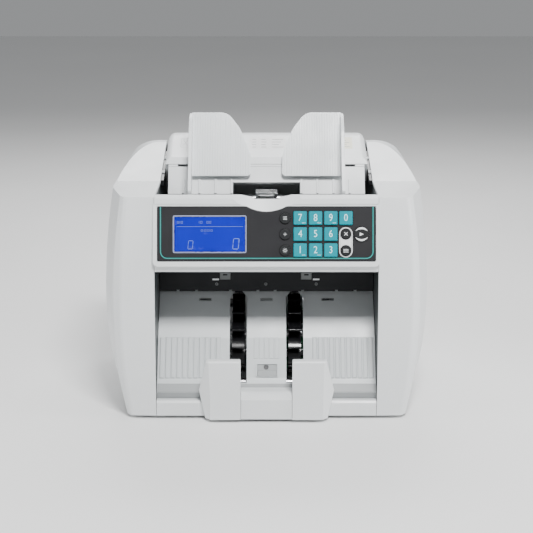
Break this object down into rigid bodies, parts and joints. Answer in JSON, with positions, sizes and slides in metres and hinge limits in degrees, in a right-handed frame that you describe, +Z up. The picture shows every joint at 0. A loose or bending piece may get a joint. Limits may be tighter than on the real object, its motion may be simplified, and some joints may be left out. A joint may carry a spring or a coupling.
{
  "type": "banknote counting machine",
  "caption": "Desktop banknote counter with top-loading hopper, sliding note guides, tilted display and keypad, and a front pocket with bladed stacking wheels.",
  "frame": {"origin": "centre of the footprint at desk level, under the middle of the machine", "axes": "+Z up, the front with the note pocket and keypad faces -Y, +X is the operator's right"},
  "size_m": [0.31, 0.24, 0.2706],
  "materials": {
    "housing_white": "light grey-white moulded plastic, fine texture",
    "guide_white": "light grey-white moulded plastic, satin",
    "overlay_grey": "dark grey printed film, satin",
    "key_teal": "teal moulded key, satin gloss",
    "screen_clear": "clear window",
    "screen_blue": "blue backlit liquid crystal panel",
    "board_green": "green circuit board with components",
    "black_moulding": "black moulded plastic",
    "pocket_grey": "light grey moulded plastic, satin",
    "key_dark": "dark grey moulded key, satin gloss",
    "frame_dark": "black painted steel side plate",
    "steel": "bright ground steel",
    "zinc_plate": "zinc plated steel sheet",
    "roller_rubber": "black rubber tyre",
    "foot_rubber": "black rubber",
    "wheel_black": "glossy black moulded blades",
    "gear_nylon": "natural nylon",
    "belt_rubber": "ribbed rubber belt",
    "rocker_black": "black moulded rocker"
  },
  "bodies": {
    "housing": {"base_pan": "housing_white", "rear_panel": "housing_white", "left_side_cover": "housing_white", "right_side_cover": "housing_white", "rubber_feet": "foot_rubber", "housing_screws": "steel", "display_bezel": "housing_white", "keypad_overlay": "overlay_grey", "display_window": "screen_clear", "display_module": "screen_blue", "control_board": "board_green", "hopper_floor": "black_moulding", "separator_block": "zinc_plate", "side_frames": "frame_dark", "tie_bars": "steel", "transport_guide": "black_moulding", "stacker_plate": "pocket_grey", "tray_front_block": "housing_white", "note_stops": "housing_white", "main_board": "board_green", "power_supply": "zinc_plate", "power_inlet": "rocker_black", "port_block": "black_moulding", "note_sensors": "black_moulding", "drive_motor": "zinc_plate", "drive_belt": "belt_rubber", "feed_belt": "belt_rubber"},
    "lid": {"rear_cover": "housing_white", "hopper_back_plate": "housing_white"},
    "guide_right": {"hopper_guide_right": "guide_white"},
    "guide_left": {"hopper_guide_left": "guide_white"},
    "guide_gear": {"guide_pinion": "gear_nylon"},
    "rocker": {"power_switch": "rocker_black"},
    "stacker": {"stacker_shaft": "steel", "stacker_wheels": "wheel_black", "stacker_gear": "gear_nylon"},
    "drum": {"drum_shaft": "steel", "drum_rollers": "roller_rubber", "drum_gear": "gear_nylon"},
    "feed": {"feed_shaft": "steel", "feed_rollers": "roller_rubber"},
    "kicker": {"kicker_shaft": "steel", "kicker_rollers": "roller_rubber"},
    "motor": {"motor_pulley": "steel"},
    "key_0": {"key_0": "key_teal"},
    "key_1": {"key_1": "key_teal"},
    "key_2": {"key_2": "key_teal"},
    "key_3": {"key_3": "key_teal"},
    "key_4": {"key_4": "key_teal"},
    "key_5": {"key_5": "key_teal"},
    "key_6": {"key_6": "key_teal"},
    "key_7": {"key_7": "key_teal"},
    "key_8": {"key_8": "key_teal"},
    "key_9": {"key_9": "key_teal"},
    "key_mode": {"key_mode": "key_dark"},
    "key_add": {"key_add": "key_dark"},
    "key_uv": {"key_uv": "key_dark"},
    "key_clear": {"key_clear": "key_dark"},
    "key_batch": {"key_batch": "key_dark"},
    "key_start": {"key_start": "key_dark"}
  },
  "joints": [
    {"name": "lid_hinge", "type": "hinge", "parent": "housing", "child": "lid", "pos_m": [0, 0.106, 0.198], "axis": [-1, 0, 0], "range_deg": [0, 65]},
    {"name": "guide_right_slide", "type": "slide", "parent": "lid", "child": "guide_right", "axis": [1, 0, 0], "range_m": [-0.012, 0.014]},
    {"name": "guide_left_slide", "type": "slide", "parent": "lid", "child": "guide_left", "axis": [1, 0, 0], "range_m": [-0.014, 0.012]},
    {"name": "guide_gear_spin", "type": "hinge", "parent": "lid", "child": "guide_gear", "pos_m": [0, 0.01349, 0.21567], "axis": [0, -0.8829, 0.4695], "range_deg": [-125, 125]},
    {"name": "power_rocker", "type": "hinge", "parent": "housing", "child": "rocker", "pos_m": [-0.033, 0.112, 0.04], "axis": [1, 0, 0], "range_deg": [0, 8]},
    {"name": "drum_spin", "type": "hinge", "parent": "housing", "child": "drum", "pos_m": [0, 0.01222, 0.12745], "axis": [1, 0, 0], "continuous": true},
    {"name": "stacker_spin", "type": "hinge", "parent": "housing", "child": "stacker", "pos_m": [0, -0.038, 0.062], "axis": [1, 0, 0], "continuous": true},
    {"name": "feed_spin", "type": "hinge", "parent": "housing", "child": "feed", "pos_m": [0, -0.024, 0.167], "axis": [1, 0, 0], "continuous": true},
    {"name": "kicker_spin", "type": "hinge", "parent": "housing", "child": "kicker", "pos_m": [0, -0.056, 0.17], "axis": [1, 0, 0], "continuous": true},
    {"name": "motor_spin", "type": "hinge", "parent": "housing", "child": "motor", "pos_m": [0, 0.078, 0.06], "axis": [1, 0, 0], "continuous": true},
    {"name": "key_0_press", "type": "slide", "parent": "housing", "child": "key_0", "axis": [0, 0.9659, -0.2588], "range_m": [0, 0.0006], "stiffness_N_per_m": 900, "springref_m": -0.0003},
    {"name": "key_1_press", "type": "slide", "parent": "housing", "child": "key_1", "axis": [0, 0.9659, -0.2588], "range_m": [0, 0.0006], "stiffness_N_per_m": 900, "springref_m": -0.0003},
    {"name": "key_2_press", "type": "slide", "parent": "housing", "child": "key_2", "axis": [0, 0.9659, -0.2588], "range_m": [0, 0.0006], "stiffness_N_per_m": 900, "springref_m": -0.0003},
    {"name": "key_3_press", "type": "slide", "parent": "housing", "child": "key_3", "axis": [0, 0.9659, -0.2588], "range_m": [0, 0.0006], "stiffness_N_per_m": 900, "springref_m": -0.0003},
    {"name": "key_4_press", "type": "slide", "parent": "housing", "child": "key_4", "axis": [0, 0.9659, -0.2588], "range_m": [0, 0.0006], "stiffness_N_per_m": 900, "springref_m": -0.0003},
    {"name": "key_5_press", "type": "slide", "parent": "housing", "child": "key_5", "axis": [0, 0.9659, -0.2588], "range_m": [0, 0.0006], "stiffness_N_per_m": 900, "springref_m": -0.0003},
    {"name": "key_6_press", "type": "slide", "parent": "housing", "child": "key_6", "axis": [0, 0.9659, -0.2588], "range_m": [0, 0.0006], "stiffness_N_per_m": 900, "springref_m": -0.0003},
    {"name": "key_7_press", "type": "slide", "parent": "housing", "child": "key_7", "axis": [0, 0.9659, -0.2588], "range_m": [0, 0.0006], "stiffness_N_per_m": 900, "springref_m": -0.0003},
    {"name": "key_8_press", "type": "slide", "parent": "housing", "child": "key_8", "axis": [0, 0.9659, -0.2588], "range_m": [0, 0.0006], "stiffness_N_per_m": 900, "springref_m": -0.0003},
    {"name": "key_9_press", "type": "slide", "parent": "housing", "child": "key_9", "axis": [0, 0.9659, -0.2588], "range_m": [0, 0.0006], "stiffness_N_per_m": 900, "springref_m": -0.0003},
    {"name": "key_mode_press", "type": "slide", "parent": "housing", "child": "key_mode", "axis": [0, 0.9659, -0.2588], "range_m": [0, 0.0006], "stiffness_N_per_m": 900, "springref_m": -0.0003},
    {"name": "key_add_press", "type": "slide", "parent": "housing", "child": "key_add", "axis": [0, 0.9659, -0.2588], "range_m": [0, 0.0006], "stiffness_N_per_m": 900, "springref_m": -0.0003},
    {"name": "key_uv_press", "type": "slide", "parent": "housing", "child": "key_uv", "axis": [0, 0.9659, -0.2588], "range_m": [0, 0.0006], "stiffness_N_per_m": 900, "springref_m": -0.0003},
    {"name": "key_clear_press", "type": "slide", "parent": "housing", "child": "key_clear", "axis": [0, 0.9659, -0.2588], "range_m": [0, 0.0006], "stiffness_N_per_m": 900, "springref_m": -0.0003},
    {"name": "key_batch_press", "type": "slide", "parent": "housing", "child": "key_batch", "axis": [0, 0.9659, -0.2588], "range_m": [0, 0.0006], "stiffness_N_per_m": 900, "springref_m": -0.0003},
    {"name": "key_start_press", "type": "slide", "parent": "housing", "child": "key_start", "axis": [0, 0.9659, -0.2588], "range_m": [0, 0.0006], "stiffness_N_per_m": 900, "springref_m": -0.0003}
  ],
  "couplings": [
    {"joint": "guide_left_slide", "follows": "guide_right_slide", "ratio": -1},
    {"joint": "guide_gear_spin", "follows": "guide_right_slide", "rad_per_m": 142.86},
    {"joint": "stacker_spin", "follows": "drum_spin", "ratio": -0.57143},
    {"joint": "feed_spin", "follows": "drum_spin", "ratio": 1.3333},
    {"joint": "kicker_spin", "follows": "drum_spin", "ratio": 1.3333},
    {"joint": "motor_spin", "follows": "drum_spin", "ratio": 2}
  ]
}
